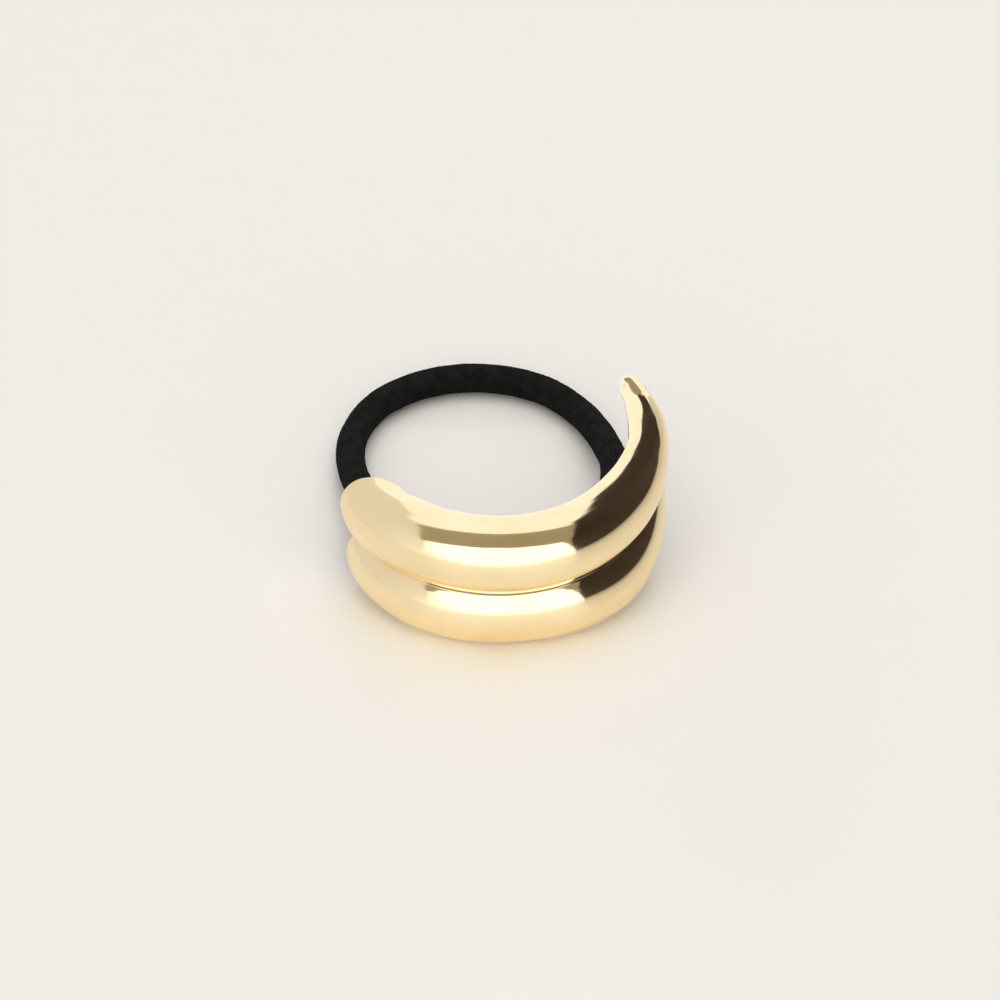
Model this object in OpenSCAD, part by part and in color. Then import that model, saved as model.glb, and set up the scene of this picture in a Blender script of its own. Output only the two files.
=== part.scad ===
// Ponytail cuff: a gold C-shaped cuff of two stacked round ribs on a covered elastic loop.
// Millimetres, +Z up. The origin is on the table, on the axis that the cuff curves round.
// Angles run round that axis from the middle of the front (-Y), positive towards +X.

/* [Cuff] */
// Outside radius of the cuff at the middle of the front
cuff_radius = 24.1; // [23.5:0.1:26]
// Radius of a rib's round section at the middle of the front
rib_radius = 5.7; // [5.4:0.05:6]
// Height between the middles of the two ribs
rib_spacing = 8.7; // [8.4:0.1:9.3]
// Thickness of the cast metal
wall = 1.1; // [0.8:0.05:1.2]
// Angle from the front to the blunt end
blunt_end_angle = 74.5; // [68:0.5:78]
// Angle from the front to the tip of the long horn
horn_end_angle = 131.5; // [128:0.5:136]
// Angle that the inner side of the blunt end is cut back by
blunt_end_skew = 20; // [0:0.5:24]
// Radius of the polished edge round the blunt end
end_edge = 0.35; // [0.2:0.05:0.5]
// Half angle of the narrow flat land that the lower rib rests on
land_angle = 9; // [6:1:12]
// Width of the fillet at the bottom of the crease between the ribs
crease_fillet = 0.24; // [0.1:0.02:0.4]

/* [Keeper bars] */
// Diameter of the two bars that hold the elastic in the hollow
bar_diameter = 1.2; // [1:0.1:1.4]
// Angle from the front to the bar near the blunt end, before the end's skew moves it round
blunt_bar_angle = 64; // [48:1:66]
// Angle from the front to the bar near the horn
horn_bar_angle = 66; // [60:1:72]

/* [Elastic] */
// Diameter of the covered elastic
elastic_diameter = 4.4; // [4:0.1:4.6]
// Length of the crimp that joins the ends of the elastic
crimp_length = 7; // [5:0.5:9]
// Thickness of the crimp's wall over the elastic
crimp_wall = 0.3; // [0.2:0.05:0.35]

/* [Hidden] */

rib_segments = 12;
angle_step = 4;
edge_steps = 3;
tip_steps = 5;
tip_rounding_angle = 4.5;
tip_flat_share = 0.16;
// Angle from the front where the skew of the blunt end has died away
skew_to = 28;
// How far the bars stand in from the middles of the lips, so that their ends sink in
bar_seat = 0.2;

// Height of the middle of the lower rib, which stands on its flat land
lower_middle = rib_radius * cos(land_angle);
upper_middle = lower_middle + rib_spacing;

// The upper rib, one row for each section from the blunt end to the tip of the horn.
// Columns: angle from the front, rib radius as a share of rib_radius, outside radius as a
// share of cuff_radius, and rise of the rib's middle as a share of rib_radius.
UPPER_RIB = [
    [-74, 0.85, 0.979, 0.04],
    [-62, 0.88, 0.998, 0.00],
    [-50, 0.91, 0.993, 0.00],
    [-34, 0.955, 0.985, 0.00],
    [-17, 0.99, 0.991, 0.00],
    [0, 1.00, 1.000, 0.00],
    [20, 0.99, 1.001, 0.005],
    [35, 0.955, 1.000, 0.035],
    [48, 0.91, 0.999, 0.08],
    [62, 0.85, 1.001, 0.14],
    [75, 0.77, 1.010, 0.24],
    [90, 0.665, 1.028, 0.37],
    [101, 0.58, 1.052, 0.52],
    [110, 0.49, 1.074, 0.65],
    [118, 0.415, 1.080, 0.79],
    [126, 0.32, 1.086, 0.915],
    [134, 0.21, 1.072, 1.06],
];

// The lower rib, with the same columns, up to where its own short horn begins to end
LOWER_RIB = [
    [-74, 0.85, 0.946, 0.00],
    [-60, 0.895, 0.972, -0.02],
    [-48, 0.925, 0.983, -0.03],
    [-34, 0.96, 0.991, -0.03],
    [-17, 0.99, 1.001, -0.01],
    [0, 1.00, 1.004, 0.00],
    [20, 1.00, 1.012, 0.00],
    [35, 0.995, 1.026, -0.005],
    [48, 0.97, 1.033, -0.015],
    [60, 0.935, 1.032, 0.06],
    [75, 0.86, 1.024, 0.32],
    [85, 0.78, 1.018, 0.56],
    [92, 0.69, 1.015, 0.80],
    [100, 0.49, 1.010, 1.17],
];

// Past its end the lower rib runs on as a low keel under the horn.
// Angles where it starts and ends to become the keel, then the keel's radius and its
// distance below the horn's middle as shares of the horn's radius.
keel_from = 97;
keel_to = 109;
keel_radius = 0.3;
keel_drop = 0.72;

// A lip stands at this share of the way round each rib from the outside crease to the back
upper_lip = 0.671;
// The lower lip draws back towards the horn, so that the elastic can come in over it
lower_lip_front = 0.671;
lower_lip_horn = 0.56;
lip_from = 72;
lip_to = 90;

// Angles between which each rib's hollow grows shallow, to where the horn is solid
upper_hollow_from = 78;
lower_hollow_from = 98;
hollow_to = 110;

// Route of the elastic, chosen by hand: from the crimp round the horn's side, over the
// table and back to the crimp. Its height on the table leaves the elastic just clear of it.
table_z = 2.3;
crimp_y = -18.5;
crimp_z = 5.9;
ELASTIC_ROUTE = [
    [crimp_length / 2, crimp_y, crimp_z],
    [8, -16.9, 5.9],
    [12.2, -14.2, 6],
    [15.9, -10.8, 6.3],
    [18, -7.2, 6.9],
    [18.5, -3.6, 7.8],
    [18.3, -0.7, 9.2],
    [17.6, 1.8, 10.2],
    [17.2, 4, 9.8],
    [17.1, 6.6, 8.8],
    [17.2, 9.6, 7.5],
    [17.2, 12.8, 6.4],
    [17.1, 16, 5.4],
    [16.5, 19.6, 4.5],
    [15.4, 24.3, 3.5],
    [14, 28.5, 2.7],
    [12.4, 31.8, table_z],
    [8.7, 36.2, table_z],
    [4.4, 39, table_z],
    [-0.3, 40.4, table_z],
    [-5.2, 40.6, table_z],
    [-10, 39.4, table_z],
    [-14.4, 36.9, table_z],
    [-18.2, 33, table_z],
    [-20.8, 27.2, table_z],
    [-21.5, 22, 2.4],
    [-21.1, 16.8, 3],
    [-20.2, 12, 3.9],
    [-19.5, 7.5, 4.8],
    [-19, 2.6, 5.6],
    [-18.4, -2.4, 5.9],
    [-17.3, -7.1, 5.9],
    [-14.6, -11.7, 5.9],
    [-11.2, -15, 5.9],
    [-7.4, -17.2, 5.9],
    [-crimp_length / 2, crimp_y, crimp_z],
];
elastic_sides = 10;
steps_between_points = 2;

// A value that rises smoothly from 0 to 1 as x goes from low to high
function smooth(x, low, high) =
    let (t = max(0, min(1, (x - low) / (high - low)))) t * t * (3 - 2 * t);

function mix(a, b, t) = a * (1 - t) + b * t;

// Slope of one column of a table at row i
function slope(rows, column, i) =
    let (low = max(0, i - 1), high = min(len(rows) - 1, i + 1))
    (rows[high][column] - rows[low][column]) / (rows[high][0] - rows[low][0]);

// Last row of a table whose angle isn't past the given one
function row_before(rows, angle, i = 0) =
    i < len(rows) - 2 && rows[i + 1][0] <= angle ? row_before(rows, angle, i + 1) : i;

// One column of a table at any angle, on a smooth curve through its rows
function reading(rows, column, angle) =
    let (
        i = row_before(rows, angle),
        span = rows[i + 1][0] - rows[i][0],
        t = max(0, min(1, (angle - rows[i][0]) / span)),
        start = rows[i][column],
        end = rows[i + 1][column],
        start_slope = slope(rows, column, i) * span,
        end_slope = slope(rows, column, i + 1) * span
    )
    start * (1 + 2 * t) * (1 - t) * (1 - t) + start_slope * t * (1 - t) * (1 - t)
    + end * t * t * (3 - 2 * t) + end_slope * t * t * (t - 1);

// A rib's section at an angle: distance of its middle from the axis, height and radius
function rib_section(rows, middle, angle) =
    let (radius = rib_radius * reading(rows, 1, angle))
    [
        cuff_radius * reading(rows, 2, angle) - radius,
        middle + rib_radius * reading(rows, 3, angle),
        radius,
    ];

// A rib's section lifted, where it needs to be, until its land is on the table
function on_table(rib) = [rib[0], max(rib[1], rib[2] * cos(land_angle)), rib[2]];

function upper_section(angle) = rib_section(UPPER_RIB, upper_middle, angle);

function lower_section(angle) =
    let (
        upper = upper_section(angle),
        keel = [upper[0], upper[1] - keel_drop * upper[2], keel_radius * upper[2]]
    )
    mix(on_table(rib_section(LOWER_RIB, lower_middle, angle)), keel,
        smooth(angle, keel_from, keel_to));

// Where the circles of the two ribs cross, on the outside (side 1) or the back (side -1)
function crease(upper, lower, side) =
    let (
        line = [upper[0] - lower[0], upper[1] - lower[1]],
        length = norm(line),
        along = (length * length + lower[2] * lower[2] - upper[2] * upper[2]) / (2 * length),
        off = sqrt(max(0.0004, lower[2] * lower[2] - along * along))
    )
    [
        lower[0] + (along * line[0] + side * off * line[1]) / length,
        lower[1] + (along * line[1] - side * off * line[0]) / length,
    ];

function angle_to(rib, point) = atan2(point[1] - rib[1], point[0] - rib[0]);

function on_rib(rib, radius, angle) =
    [rib[0] + radius * cos(angle), rib[1] + radius * sin(angle)];

// Half of the crease's fillet as an angle round a rib
fillet_angle = crease_fillet / (2 * rib_radius) * 180 / PI;

// Angles round a rib from a to b in equal steps
function arc_angles(a, b, segments) = [for (i = [0:segments]) mix(a, b, i / segments)];

// An angle moved by whole turns until it is below another
function turned_below(angle, limit) = angle > limit ? turned_below(angle - 360, limit) : angle;
function turned_above(angle, limit) = angle < limit ? turned_above(angle + 360, limit) : angle;

// The outside of a section, from the upper lip over both ribs to the lower lip.
// The lower rib's angles leave out the land, so that its flat is one straight step.
function upper_angles(from_lip, to_crease) = arc_angles(from_lip, to_crease, rib_segments);

function lower_angles(from_crease, to_lip, land) = concat(
    arc_angles(from_crease, -90 + land, rib_segments / 2 + 1),
    arc_angles(-90 - land, to_lip, rib_segments / 2 - 2)
);

// A whole section of the cuff as a closed loop of [distance from the axis, height].
// trim takes the outside in at the polished edge, and tip draws the loop in at the horn's end.
function cuff_loop(angle, trim, tip) =
    let (
        upper = upper_section(angle),
        lower = lower_section(angle),
        closing = [smooth(angle, upper_hollow_from, hollow_to),
            smooth(angle, lower_hollow_from, hollow_to)],
        out = crease(upper, lower, 1),
        back = crease(upper, lower, -1),
        upper_out = angle_to(upper, out),
        upper_back = turned_above(angle_to(upper, back), upper_out),
        lower_out = angle_to(lower, out),
        lower_back = turned_below(angle_to(lower, back), lower_out),
        upper_lip_angle = mix(upper_out, upper_back, upper_lip),
        lower_share = mix(lower_lip_front, lower_lip_horn, smooth(angle, lip_from, lip_to)),
        lower_lip_angle = mix(lower_out, lower_back, lower_share),
        land = min(land_angle, (lower_out - lower_back) / 24),
        outside = concat(
            [for (a = upper_angles(upper_lip_angle, upper_out + fillet_angle))
                on_rib(upper, upper[2] - trim, a)],
            [for (a = lower_angles(lower_out - fillet_angle, lower_lip_angle, land))
                on_rib(lower, lower[2] - trim, a)]
        ),
        hollow = concat(
            [for (a = upper_angles(upper_lip_angle, upper_out)) on_rib(upper, upper[2] - wall, a)],
            [for (a = lower_angles(lower_out, lower_lip_angle, land))
                on_rib(lower, lower[2] - wall, a)]
        ),
        behind = concat(
            [for (a = arc_angles(upper_lip_angle, upper_back - fillet_angle, rib_segments))
                on_rib(upper, upper[2], a)],
            [for (a = arc_angles(lower_back + fillet_angle, lower_lip_angle, rib_segments))
                on_rib(lower, lower[2], a)]
        ),
        last = len(outside) - 1,
        inside = [for (i = [0:last])
            mix(hollow[i], behind[i], closing[i <= rib_segments ? 0 : 1])],
        middle = [upper[0], upper[1]]
    )
    [for (point = concat(outside, [for (i = [last:-1:0]) inside[i]])) mix(middle, point, tip)];

// Sections from the polished blunt end to the rounded tip: [angle, trim, tip]
edge_angle = end_edge / cuff_radius * 180 / PI;
tip_from = horn_end_angle - tip_rounding_angle;
body_steps = round((tip_from + blunt_end_angle) / angle_step);
SECTIONS = concat(
    [for (i = [0:edge_steps - 1]) let (t = 90 * i / edge_steps)
        [-blunt_end_angle + edge_angle * (1 - cos(t)), end_edge * (1 - sin(t)), 1]],
    [for (i = [0:body_steps])
        [mix(-blunt_end_angle + edge_angle, tip_from, i / body_steps), 0, 1]],
    [for (i = [1:tip_steps]) let (t = acos(tip_flat_share) * i / tip_steps)
        [tip_from + tip_rounding_angle * sin(t), 0, cos(t)]]
);

// A point of a section placed round the cuff's axis, moved round by the blunt end's skew
function placed(point, angle) =
    let (
        share = 1 - smooth(angle, -blunt_end_angle, -skew_to),
        across = (cuff_radius - point[0]) / (2 * rib_radius),
        turned = angle + blunt_end_skew * share * across * across
    )
    [point[0] * sin(turned), -point[0] * cos(turned), point[1]];

module cuff_shell() {
    loops = [for (s = SECTIONS) cuff_loop(s[0], s[1], s[2])];
    count = len(loops[0]);
    half = count / 2;
    last = len(loops) - 1;
    points = [for (i = [0:last]) for (p = loops[i]) placed(p, SECTIONS[i][0])];
    sides = [for (i = [0:last - 1]) for (j = [0:count - 1])
        let (a = i * count + j, b = i * count + (j + 1) % count)
        each [[a, b + count, b], [a, a + count, b + count]]];
    blunt_end = [for (j = [0:half - 2])
        let (a = j, b = j + 1, c = count - 2 - j, d = count - 1 - j)
        each [[a, b, d], [b, c, d]]];
    tip_end = [for (face = blunt_end) [for (k = [2:-1:0]) face[k] + last * count]];
    polyhedron(points = points, faces = concat(sides, blunt_end, tip_end), convexity = 6);
}

// The middle of a lip's edge: [distance from the axis, height]
function lip_middle(rib, lip_angle) = on_rib(rib, rib[2] - wall / 2, lip_angle);

// A bar across the hollow's mouth, from the lower lip to the upper one
module keeper_bar(angle) {
    upper = upper_section(angle);
    lower = lower_section(angle);
    out = crease(upper, lower, 1);
    back = crease(upper, lower, -1);
    upper_out = angle_to(upper, out);
    upper_back = turned_above(angle_to(upper, back), upper_out);
    lower_out = angle_to(lower, out);
    lower_back = turned_below(angle_to(lower, back), lower_out);
    top = lip_middle(upper, mix(upper_out, upper_back, upper_lip));
    bottom = lip_middle(lower, mix(lower_out, lower_back, lower_lip_front));
    low = placed(bottom + [bar_seat, 0], angle);
    way = placed(top + [bar_seat, 0], angle) - low;
    translate(low)
        rotate([0, acos(way[2] / norm(way)), atan2(way[1], way[0])])
            cylinder(d = bar_diameter, h = norm(way), $fn = 24);
}

module cuff() {
    color("goldenrod") {
        cuff_shell();
        keeper_bar(-blunt_bar_angle);
        keeper_bar(horn_bar_angle);
    }
}

// A point between two points of the route, on a smooth curve through all of them
function between(points, i, t) =
    let (
        before = points[max(0, i - 1)],
        start = points[i],
        end = points[min(len(points) - 1, i + 1)],
        after = points[min(len(points) - 1, i + 2)]
    )
    0.5 * (2 * start + (end - before) * t
        + (2 * before - 5 * start + 4 * end - after) * t * t
        + (3 * start - before - 3 * end + after) * t * t * t);

// The route with the steps between its points filled in
function smooth_route(points, steps) = concat(
    [for (i = [0:len(points) - 2]) for (k = [0:steps - 1]) between(points, i, k / steps)],
    [points[len(points) - 1]]
);

function unit(v) = v / norm(v);

module elastic_loop() {
    route = smooth_route(ELASTIC_ROUTE, steps_between_points);
    last = len(route) - 1;
    radius = elastic_diameter / 2;
    points = [for (i = [0:last])
        let (
            way = i == 0 || i == last ? [1, 0, 0] : unit(route[i + 1] - route[i - 1]),
            side = unit(cross(way, [0, 0, 1])),
            up = cross(side, way)
        )
        for (k = [0:elastic_sides - 1])
            let (turn = 360 * (k + 0.5) / elastic_sides)
            route[i] + radius * (cos(turn) * side + sin(turn) * up)];
    walls = [for (i = [0:last - 1]) for (k = [0:elastic_sides - 1])
        let (a = i * elastic_sides + k, b = i * elastic_sides + (k + 1) % elastic_sides)
        [a, b, b + elastic_sides, a + elastic_sides]];
    start_face = [[for (k = [elastic_sides - 1:-1:0]) k]];
    end_face = [[for (k = [0:elastic_sides - 1]) last * elastic_sides + k]];
    color([0.09, 0.09, 0.1])
        polyhedron(points = points, faces = concat(walls, start_face, end_face), convexity = 6);
}

module elastic_crimp() {
    color("silver")
        translate([-crimp_length / 2, crimp_y, crimp_z])
            rotate([0, 90, 0])
                cylinder(d = elastic_diameter + 2 * crimp_wall, h = crimp_length, $fn = 32);
}

cuff();
elastic_loop();
elastic_crimp();
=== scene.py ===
"""Looks of a gold C-shaped ponytail cuff on a black covered elastic loop, lying on a table.

Lengths are in millimetres until a mesh is made, and angles in degrees. The origin is on the
table, on the axis that the cuff curves round. Angles run from the front (-Y) towards +X.
"""

import logging
import math
from dataclasses import dataclass
from enum import Enum
from typing import Any, Callable, Optional, Sequence

import bpy
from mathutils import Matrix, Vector

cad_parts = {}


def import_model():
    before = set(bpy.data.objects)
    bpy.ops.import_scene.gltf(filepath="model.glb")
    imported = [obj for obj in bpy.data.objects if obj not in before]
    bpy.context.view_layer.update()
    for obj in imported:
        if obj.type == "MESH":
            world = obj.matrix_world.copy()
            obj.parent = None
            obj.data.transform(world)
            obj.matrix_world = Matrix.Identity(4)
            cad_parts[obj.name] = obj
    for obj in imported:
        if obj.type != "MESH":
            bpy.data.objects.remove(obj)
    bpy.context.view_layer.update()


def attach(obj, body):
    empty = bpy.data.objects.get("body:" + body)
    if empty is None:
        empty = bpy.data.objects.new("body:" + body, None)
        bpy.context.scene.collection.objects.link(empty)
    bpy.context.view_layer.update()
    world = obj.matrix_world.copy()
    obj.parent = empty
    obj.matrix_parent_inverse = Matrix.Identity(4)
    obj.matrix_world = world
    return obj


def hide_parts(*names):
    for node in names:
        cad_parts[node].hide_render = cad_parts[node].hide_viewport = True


LOG = logging.getLogger("ponytail_cuff")
MM = 0.001
BODY = "root"
GATHERING = 1.5
SMALLEST_CROSSING = 0.02
DOWN = -90.0
PER_MM = (1 / MM, 1 / MM, 1 / MM)

Point = tuple[float, float, float]
Rib = tuple[float, float, float]
Flat = tuple[float, float]
Colour = tuple[float, float, float]


def smooth(x: float, low: float, high: float) -> float:
    """Returns a value that rises smoothly from 0 to 1 as x goes from low to high."""
    t = max(0.0, min(1.0, (x - low) / (high - low)))
    return t * t * (3 - 2 * t)


def mix(a: float, b: float, t: float) -> float:
    """Returns the value a share t of the way from a to b."""
    return a * (1 - t) + b * t


def steps(a: float, b: float, count: int) -> list[float]:
    """Returns count + 1 values in equal steps from a to b."""
    return [mix(a, b, i / count) for i in range(count + 1)]


def gathered(a: float, b: float, count: int) -> list[float]:
    """Returns count + 1 values from a to b, gathered towards b by the power GATHERING."""
    return [mix(a, b, 1 - (1 - i / count) ** GATHERING) for i in range(count + 1)]


def srgb(red: int, green: int, blue: int) -> Colour:
    """Turns a colour on the screen's 0 to 255 scale into linear light.

    Args:
        red: the red part.
        green: the green part.
        blue: the blue part.

    Returns:
        The same colour as linear shares of white.
    """

    def linear(value: int) -> float:
        """Returns one part of the colour in linear light."""
        share = value / 255
        return share / 12.92 if share <= 0.04045 else ((share + 0.055) / 1.055) ** 2.4

    return (linear(red), linear(green), linear(blue))


class RibColumn(Enum):
    """What each column of a rib's table holds, after the angle."""

    RADIUS = 1
    OUTSIDE = 2
    RISE = 3


@dataclass
class RibTable:
    """A rib as rows of (angle, rib radius share, outside radius share, rise share)."""

    rows: list[tuple[float, float, float, float]]

    def slope(self, column: int, i: int) -> float:
        """Returns the slope of one column at row i."""
        low, high = max(0, i - 1), min(len(self.rows) - 1, i + 1)
        rise = self.rows[high][column] - self.rows[low][column]
        return rise / (self.rows[high][0] - self.rows[low][0])

    def reading(self, column: RibColumn, angle: float) -> float:
        """Reads one column at any angle, on a smooth curve through its rows.

        Args:
            column: which share to read.
            angle: the angle round the cuff, from the front.

        Returns:
            The share at that angle.
        """
        c, i = column.value, 0
        while i < len(self.rows) - 2 and self.rows[i + 1][0] <= angle:
            i += 1
        span = self.rows[i + 1][0] - self.rows[i][0]
        t = max(0.0, min(1.0, (angle - self.rows[i][0]) / span))
        start, end = self.rows[i][c], self.rows[i + 1][c]
        start_slope, end_slope = self.slope(c, i) * span, self.slope(c, i + 1) * span
        return (
            start * (1 + 2 * t) * (1 - t) ** 2
            + start_slope * t * (1 - t) ** 2
            + end * t * t * (3 - 2 * t)
            + end_slope * t * t * (t - 1)
        )


UPPER_RIB = RibTable(
    [
        (-74, 0.85, 0.979, 0.04),
        (-62, 0.88, 0.998, 0.00),
        (-50, 0.91, 0.993, 0.00),
        (-34, 0.955, 0.985, 0.00),
        (-17, 0.99, 0.991, 0.00),
        (0, 1.00, 1.000, 0.00),
        (20, 0.99, 1.001, 0.005),
        (35, 0.955, 1.000, 0.035),
        (48, 0.91, 0.999, 0.08),
        (62, 0.85, 1.001, 0.14),
        (75, 0.77, 1.010, 0.24),
        (90, 0.665, 1.028, 0.37),
        (101, 0.58, 1.052, 0.52),
        (110, 0.49, 1.074, 0.65),
        (118, 0.415, 1.080, 0.79),
        (126, 0.32, 1.086, 0.915),
        (134, 0.21, 1.072, 1.06),
    ]
)

LOWER_RIB = RibTable(
    [
        (-74, 0.85, 0.946, 0.00),
        (-60, 0.895, 0.972, -0.02),
        (-48, 0.925, 0.983, -0.03),
        (-34, 0.96, 0.991, -0.03),
        (-17, 0.99, 1.001, -0.01),
        (0, 1.00, 1.004, 0.00),
        (20, 1.00, 1.012, 0.00),
        (35, 0.995, 1.026, -0.005),
        (48, 0.97, 1.033, -0.015),
        (60, 0.935, 1.032, 0.06),
        (75, 0.86, 1.024, 0.32),
        (85, 0.78, 1.018, 0.56),
        (92, 0.69, 1.015, 0.80),
        (100, 0.49, 1.010, 1.17),
    ]
)


def new_mesh(name: str, points: Sequence[Point], faces: Sequence[Sequence[int]]) -> bpy.types.Object:
    """Makes a smooth-shaded mesh object from points in millimetres.

    Args:
        name: the object's name.
        points: the corners, in millimetres.
        faces: corner numbers of each face, outside seen anticlockwise.

    Returns:
        The new object, linked to the scene.
    """
    mesh = bpy.data.meshes.new(name)
    mesh.from_pydata([(x * MM, y * MM, z * MM) for x, y, z in points], [], faces)
    mesh.validate()
    mesh.shade_smooth()
    made = bpy.data.objects.new(name, mesh)
    bpy.context.scene.collection.objects.link(made)
    return made


def tube_faces(first: int, rings: int, sides: int, turned: bool = False) -> list[tuple[int, ...]]:
    """Joins rings of corners into a closed tube.

    Args:
        first: the number of the first ring's first corner.
        rings: how many stretches the tube has.
        sides: how many corners each ring has.
        turned: whether the corners run the other way round, seen along the tube.

    Returns:
        The faces, with the two end caps last.
    """
    faces: list[tuple[int, ...]] = []
    for i in range(rings):
        for k in range(sides):
            a, b = first + i * sides + k, first + i * sides + (k + 1) % sides
            after, before = (a + sides, b) if turned else (b, a + sides)
            faces.append((a, after, b + sides, before))
    near = tuple(first + k for k in range(sides))
    far = tuple(first + rings * sides + k for k in range(sides))
    return faces + ([near, far[::-1]] if turned else [near[::-1], far])


@dataclass
class CuffCasting:
    """The gold casting: two fat ribs side by side, hollow and open at the back."""

    cuff_radius: float = 24.1
    rib_radius: float = 5.7
    rib_spacing: float = 8.7
    wall: float = 1.1
    blunt_end_angle: float = 74.5
    blunt_end_skew: float = 20.0
    skew_to: float = 28.0
    horn_end_angle: float = 131.5
    end_edge: float = 0.35
    land_angle: float = 9.0
    land_share: float = 1 / 24
    crease_fillet: float = 0.24
    crease_angle: float = 40.0
    keel_from: float = 97.0
    keel_to: float = 109.0
    keel_radius: float = 0.3
    keel_drop: float = 0.72
    upper_lip: float = 0.671
    lower_lip_front: float = 0.671
    lower_lip_horn: float = 0.56
    lip_from: float = 72.0
    lip_to: float = 90.0
    upper_hollow_from: float = 78.0
    lower_hollow_from: float = 98.0
    hollow_to: float = 110.0
    tip_rounding_angle: float = 4.5
    tip_flat_share: float = 0.16
    lip_bulge: float = 0.9
    inner_fill: float = 1.2
    end_tuck: float = 0.45
    fill_at: float = 56.0
    # Painted shade: weights of a dark line along the crease's floor, fading in and out over these
    # angles.
    crease_shade_line: tuple[float, ...] = (0.55, 1.0, 0.4)
    crease_shade_starts: Flat = (-30.0, -25.0)
    crease_shade_ends: Flat = (50.0, 80.0)
    rib_steps: int = 56
    lip_steps: int = 6
    edge_steps: int = 6
    tip_steps: int = 14
    angle_step: float = 1.0

    @property
    def lower_middle(self) -> float:
        """Height of the middle of the lower rib, which stands on its flat land."""
        return self.rib_radius * math.cos(math.radians(self.land_angle))

    def rib(self, table: RibTable, middle: float, angle: float) -> Rib:
        """Gives a rib's round section at an angle.

        Args:
            table: the rib's table.
            middle: height of the rib's middle before its rise.
            angle: the angle round the cuff.

        Returns:
            Distance of the section's middle from the axis, its height and its radius.
        """
        radius = self.rib_radius * table.reading(RibColumn.RADIUS, angle)
        out = self.cuff_radius * table.reading(RibColumn.OUTSIDE, angle) - radius
        return (out, middle + self.rib_radius * table.reading(RibColumn.RISE, angle), radius)

    def upper(self, angle: float) -> Rib:
        """Returns the upper rib's section at an angle."""
        return self.rib(UPPER_RIB, self.lower_middle + self.rib_spacing, angle)

    def lower(self, angle: float) -> Rib:
        """Returns the lower rib's section, which runs into a low keel under the horn."""
        top = self.upper(angle)
        out, height, radius = self.rib(LOWER_RIB, self.lower_middle, angle)
        height = max(height, radius * math.cos(math.radians(self.land_angle)))
        keel = (top[0], top[1] - self.keel_drop * top[2], self.keel_radius * top[2])
        share = smooth(angle, self.keel_from, self.keel_to)
        return (mix(out, keel[0], share), mix(height, keel[1], share), mix(radius, keel[2], share))

    @staticmethod
    def crease(upper: Rib, lower: Rib, side: int) -> Flat:
        """Finds where the circles of the two ribs cross.

        Where they don't, it gives a point SMALLEST_CROSSING off the line of their middles.

        Args:
            upper: the upper rib's section.
            lower: the lower rib's section.
            side: 1 for the outside, -1 for the back.

        Returns:
            The crossing as distance from the axis and height.
        """
        across, up = upper[0] - lower[0], upper[1] - lower[1]
        length = math.hypot(across, up)
        along = (length**2 + lower[2] ** 2 - upper[2] ** 2) / (2 * length)
        off = math.sqrt(max(SMALLEST_CROSSING**2, lower[2] ** 2 - along**2))
        return (
            lower[0] + (along * across + side * off * up) / length,
            lower[1] + (along * up - side * off * across) / length,
        )

    @staticmethod
    def angle_to(rib: Rib, point: Flat) -> float:
        """Returns the angle round a rib's section to a point."""
        return math.degrees(math.atan2(point[1] - rib[1], point[0] - rib[0]))

    @staticmethod
    def on_rib(rib: Rib, radius: float, angle: float) -> Flat:
        """Returns the point at an angle on a circle round a rib's middle."""
        turn = math.radians(angle)
        return (rib[0] + radius * math.cos(turn), rib[1] + radius * math.sin(turn))

    def crossings(self, upper: Rib, lower: Rib) -> tuple[float, float, float, float]:
        """Finds where the circles of the two ribs cross, as angles round each of them.

        Args:
            upper: the upper rib's section.
            lower: the lower rib's section.

        Returns:
            The upper rib's angle at the outside and at the back, then the lower rib's.
        """
        out, back = self.crease(upper, lower, 1), self.crease(upper, lower, -1)
        upper_out, upper_back = self.angle_to(upper, out), self.angle_to(upper, back)
        upper_back += 360 if upper_back < upper_out else 0
        lower_out, lower_back = self.angle_to(lower, out), self.angle_to(lower, back)
        lower_back -= 360 if lower_back > lower_out else 0
        return (upper_out, upper_back, lower_out, lower_back)

    def section(self, angle: float, trim: float, tip: float) -> list[Flat]:
        """Works out one closed section of the casting.

        Args:
            angle: the angle round the cuff.
            trim: how far the walls' faces are drawn together at the polished end.
            tip: share of full size, below 1 where the horn's tip rounds off.

        Returns:
            The section's corners, as distance from the axis and height.
        """
        upper, lower = self.upper(angle), self.lower(angle)
        upper_closing = smooth(angle, self.upper_hollow_from, self.hollow_to)
        lower_closing = smooth(angle, self.lower_hollow_from, self.hollow_to)
        upper_out, upper_back, lower_out, lower_back = self.crossings(upper, lower)
        upper_lip = mix(upper_out, upper_back, self.upper_lip)
        lip_share = mix(
            self.lower_lip_front, self.lower_lip_horn, smooth(angle, self.lip_from, self.lip_to)
        )
        lower_lip = mix(lower_out, lower_back, lip_share)
        land = min(self.land_angle, (lower_out - lower_back) * self.land_share)
        fillet = math.degrees(self.crease_fillet / (2 * self.rib_radius))
        half = self.rib_steps // 2

        def lower_turns(start: float) -> list[float]:
            """Returns rib_steps + 1 angles round the lower rib that leave out its flat land."""
            front = gathered(DOWN + land, start, half + 1)[::-1]
            return front + steps(DOWN - land, lower_lip, half - 2)

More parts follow.
